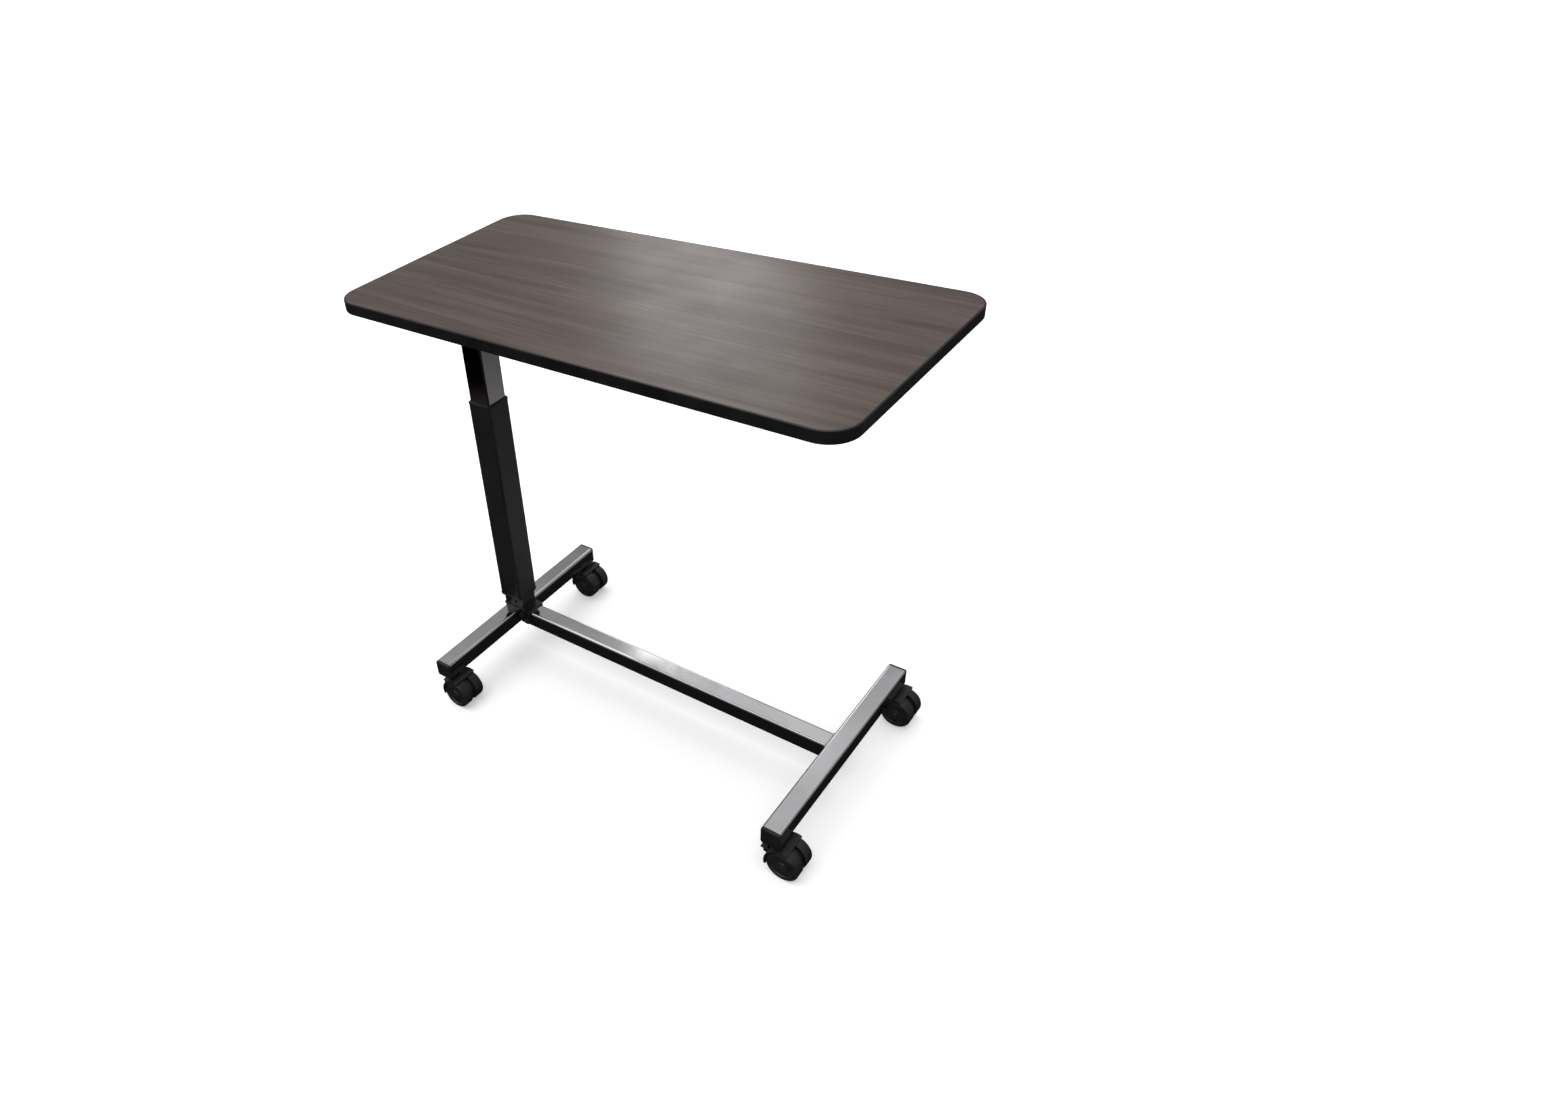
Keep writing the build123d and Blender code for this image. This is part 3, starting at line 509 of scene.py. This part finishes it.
def head_weld():
    """Beads round the inner column's upper end, and along its gussets."""
    inner_low, inner_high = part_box("inner_column")
    centre = (inner_low + inner_high) / 2
    wall = (inner_high.x - inner_low.x) / 2
    plate_z = inner_high.z
    tube_corner = 3.0 * MM
    ring = [
        (centre.x + point.x, centre.y + point.y, plate_z)
        for point in rounded_square(wall, tube_corner)
    ]
    beads = [(ring, True, (0, 0, 1), 1.8)]
    clear = 3.0 * MM
    gusset_y = 13.0 * MM
    gusset_top = plate_z - 5.0 * MM
    gusset_foot = plate_z - 34.0 * MM
    for direction, reach in ((1, 28.0 * MM), (-1, 24.0 * MM)):
        wall_x = centre.x + direction * wall
        start_x = wall_x + direction * clear
        tip_x = wall_x + direction * (reach - clear)
        for y in (-gusset_y, gusset_y):
            outward = (0, math.copysign(1, y), 0)
            plate_run = [(start_x, y, plate_z), (tip_x, y, plate_z)]
            wall_run = [(wall_x, y, gusset_top), (wall_x, y, gusset_foot)]
            beads.append((plate_run, False, outward, 1.2))
            beads.append((wall_run, False, outward, 1.2))
    weld("mast_head_weld", beads, "dark_steel", "mast")


stretcher_welds()
foot_weld()
head_weld()


# ---------------------------------------------------------------- floor, light and camera


def hide_from(piece, *rays):
    """Make a stage piece invisible to some kinds of ray."""
    for ray in rays:
        setattr(piece, f"visible_{ray}", False)


def glow(name, colour, strength=1.0):
    """A black surface that only glows."""
    return Surface(
        name,
        Specular_IOR_Level=0.0,
        Base_Color=srgb(0, 0, 0),
        Emission_Color=colour,
        Emission_Strength=strength,
    )


def studio_floor():
    """A wide pale floor. Glossy rays pass it, so bright metal mirrors a dark studio."""
    bpy.ops.mesh.primitive_plane_add(size=60.0)
    floor = bpy.context.object
    floor.name = "studio_floor"
    s = Surface(
        "studio_floor",
        Specular_IOR_Level=0.0,
        Roughness=1.0,
        Emission_Color=srgb(255, 255, 255),
        Emission_Strength=0.36,
    )
    tone = s.ramp(s.noise(0.6, 2.0), [(0.3, srgb(250, 250, 250)), (0.7, srgb(252, 252, 252))])
    floor.data.materials.append(s.finish(tone))
    hide_from(floor, "glossy")


def studio_backdrop():
    """A white dome far outside, which only the camera sees."""
    mesh = bmesh.new()
    bmesh.ops.create_uvsphere(mesh, u_segments=64, v_segments=32, radius=28.0)
    data = bpy.data.meshes.new("studio_backdrop")
    mesh.to_mesh(data)
    mesh.free()
    data.materials.append(glow("studio_backdrop", srgb(255, 255, 255)).finish())
    dome = add_object("studio_backdrop", data)
    hide_from(dome, "diffuse", "glossy", "transmission", "shadow")


def reflector(name, low, high, tint, near, far, reach):
    """A faint glowing patch on the floor that only mirrors show, fading away from the column.

    Its glow falls from near to far, which it has at reach metres from the column.
    """
    mesh = bpy.data.meshes.new(name)
    outline = [(low[0], low[1]), (high[0], low[1]), (high[0], high[1]), (low[0], high[1])]
    mesh.from_pydata([(x, y, 1.0 * MM) for x, y in outline], [], [(0, 1, 2, 3)])
    s = glow(name, srgb(*tint))
    column_foot = (-0.31, 0.0, 0.0)
    fade_start = 0.4
    inputs = {0: s.place, 1: column_foot}
    from_column = s.add("ShaderNodeVectorMath", inputs, operation="SUBTRACT").outputs[0]
    distance = s.add("ShaderNodeVectorMath", {0: from_column}, operation="LENGTH")
    level = s.spread(distance.outputs["Value"], near, far, start=fade_start, end=reach)
    s.tree.links.new(level, s.shader.inputs["Emission Strength"])
    mesh.materials.append(s.finish())
    card = add_object(name, mesh)
    hide_from(card, "camera", "diffuse", "transmission", "shadow")


def studio_world():
    """Even light from above the horizon, a band of it just below, and almost none further down."""
    world = bpy.data.worlds.new("studio_world")
    world.use_nodes = True
    tree = world.node_tree
    background = tree.nodes["Background"]
    direction = tree.nodes.new("ShaderNodeTexCoord").outputs["Generated"]
    split = tree.nodes.new("ShaderNodeSeparateXYZ")
    ramp = tree.nodes.new("ShaderNodeValToRGB")
    # Brightness by direction, from 0, straight down, to 1, straight up.
    levels = [
        (0.0, 0.01),
        (0.33, 0.012),
        (0.38, 0.1),
        (0.43, 0.3),
        (0.5, 0.3),
        (0.55, 0.2),
        (0.7, 0.34),
        (0.79, 0.35),
        (0.82, 0.46),
        (0.845, 0.68),
        (0.89, 0.76),
        (1.0, 1.15),
    ]
    fill_ramp(ramp, [(position, (level, level, level, 1.0)) for position, level in levels])
    height = tree.nodes.new("ShaderNodeMapRange")
    height.inputs["From Min"].default_value = -1.0
    tree.links.new(direction, split.inputs[0])
    tree.links.new(split.outputs["Z"], height.inputs["Value"])
    tree.links.new(height.outputs["Result"], ramp.inputs["Fac"])
    tree.links.new(ramp.outputs["Color"], background.inputs["Color"])
    background.inputs["Strength"].default_value = 1.0
    bpy.context.scene.world = world


def area_light(name, place, target, width, height, power):
    """A soft box at a place, facing a target."""
    data = bpy.data.lights.new(name, "AREA")
    data.shape = "RECTANGLE"
    data.size = width
    data.size_y = height
    data.energy = power
    light = add_object(name, data)
    light.location = place
    light.rotation_euler = (target - place).to_track_quat("-Z", "Y").to_euler()


def sun_light(name, direction, strength, spread):
    """A sun along a direction, its disc spread degrees wide."""
    data = bpy.data.lights.new(name, "SUN")
    data.energy = strength
    data.angle = math.radians(spread)
    light = add_object(name, data)
    light.rotation_euler = Vector(direction).to_track_quat("-Z", "Y").to_euler()


camera_place = Vector((0.7677, -1.0150, 1.2418))
camera_heading = math.radians(42.39)
camera_pitch = math.radians(-37.23)
camera_roll = math.radians(-6.57)
camera_lens = 24.22
camera_shift = (0.1259, 0.0177)


def photo_camera():
    """The photograph's viewpoint: high, in front of the right end, wide-angle."""
    data = bpy.data.cameras.new("photo_camera")
    data.lens = camera_lens
    data.sensor_width = 36.0
    data.shift_x, data.shift_y = camera_shift
    data.clip_start = 0.01
    data.clip_end = 100.0
    camera = add_object("photo_camera", data)
    turn = Matrix.Rotation(camera_heading, 4, "Z")
    tilt = Matrix.Rotation(math.radians(90.0) + camera_pitch, 4, "X")
    roll = Matrix.Rotation(camera_roll, 4, "Z")
    camera.matrix_world = Matrix.Translation(camera_place) @ turn @ tilt @ roll
    bpy.context.scene.camera = camera


studio_floor()
studio_backdrop()
studio_world()
sun_light("overhead", (0.25, 0.15, -1.0), strength=1.1, spread=70.0)

# A soft box behind the table, where the satin top mirrors it to the camera, and a
# fainter one above it, for the chrome of the base.
glare_point = Vector((0.112, -0.02, cad_high.z))
away = (glare_point - camera_place).normalized()
mirrored = Vector((away.x, away.y, -away.z))
glare_distance = 3.5
glare_place = glare_point + mirrored * glare_distance
area_light("glare_box", glare_place, glare_point, width=0.8, height=1.15, power=5.5)
base_point = Vector((0.12, 0.0, 0.086))
chrome_distance = 4.0
chrome_place = base_point + Vector((-0.39, 0.62, 0.7)) * chrome_distance
area_light("chrome_box", chrome_place, base_point, width=1.1, height=0.9, power=0.6)
warm_white = (255, 251, 247)
peach = (255, 236, 222)
reflector("rear_reflector", (-0.1, 0.45), (1.5, 1.7), warm_white, near=0.34, far=0.02, reach=1.7)
reflector("foot_reflector", (-0.2, 0.1), (0.28, 0.45), warm_white, near=0.34, far=0.02, reach=1.7)
reflector("front_reflector", (-2.2, -2.2), (-0.5, -0.3), peach, near=0.16, far=0.0, reach=1.1)

photo_camera()
bpy.context.scene.view_settings.view_transform = "Standard"
